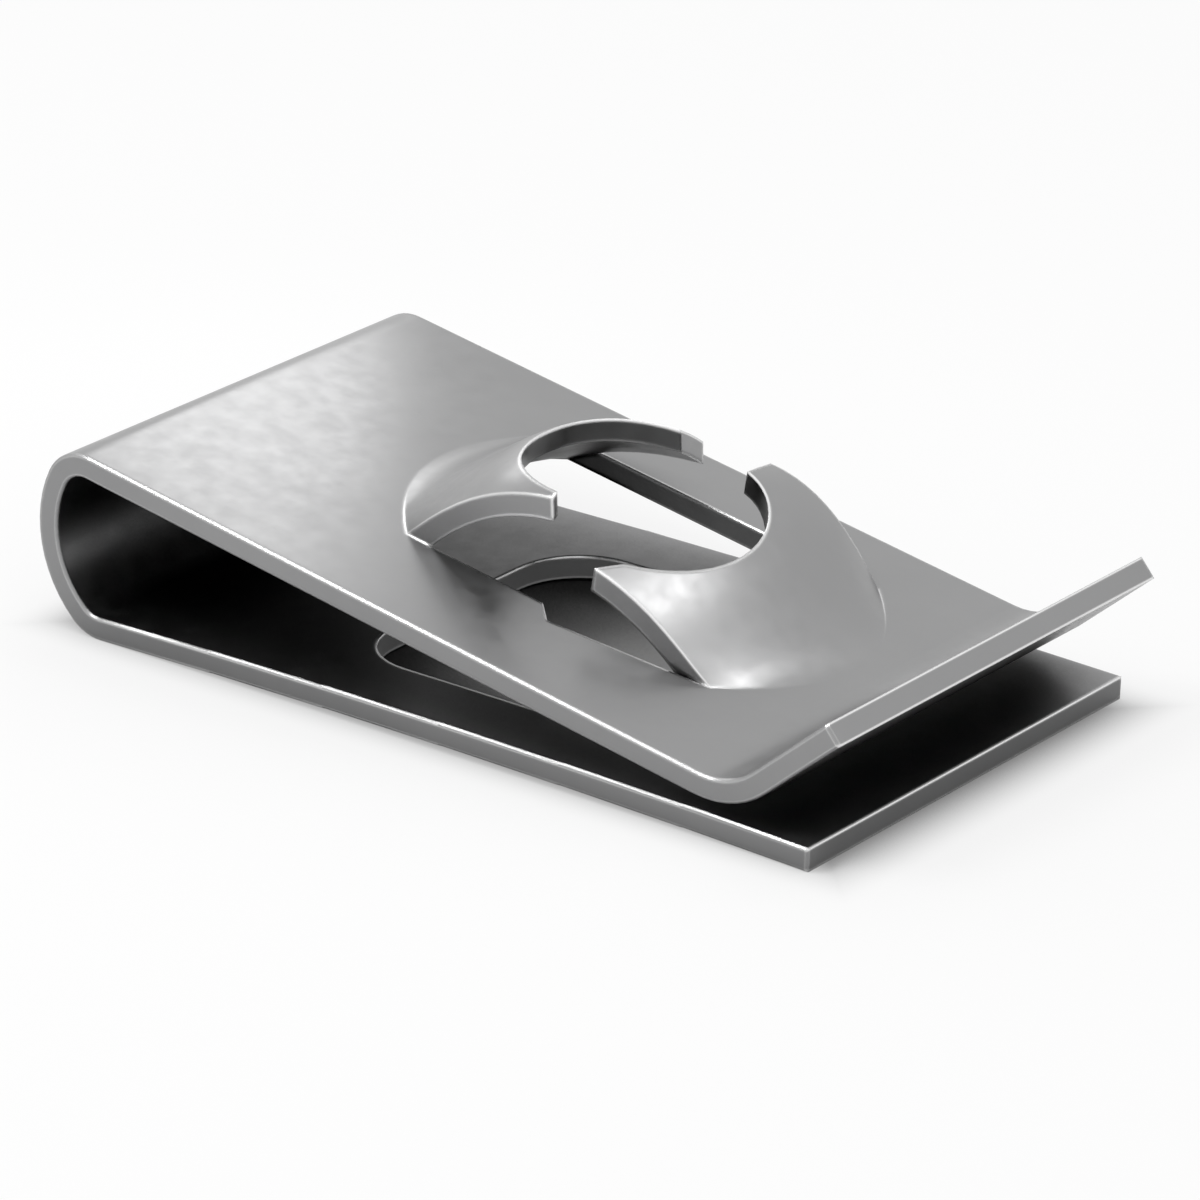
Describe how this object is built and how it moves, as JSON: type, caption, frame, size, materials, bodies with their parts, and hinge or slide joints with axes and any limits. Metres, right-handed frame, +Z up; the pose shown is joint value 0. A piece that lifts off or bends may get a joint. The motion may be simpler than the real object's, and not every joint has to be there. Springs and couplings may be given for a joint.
{
  "type": "u clip speed nut",
  "caption": "Folded spring-steel clip nut: a sheet strip bent into a U, with arched, notched prongs that grip a screw and a clearance window in the leaf below.",
  "frame": {"origin": "centre of the bounding box's bottom face, on the plane that the lower leaf rests on", "axes": "+X along the strip from the back of the fold to the mouth, +Y across the strip, +Z up from the lower leaf to the prongs"},
  "size_m": [0.0246, 0.0126, 0.0057],
  "materials": {
    "spring_steel": "satin"
  },
  "bodies": {
    "root": {"speed_nut": "spring_steel"}
  },
  "joints": []
}
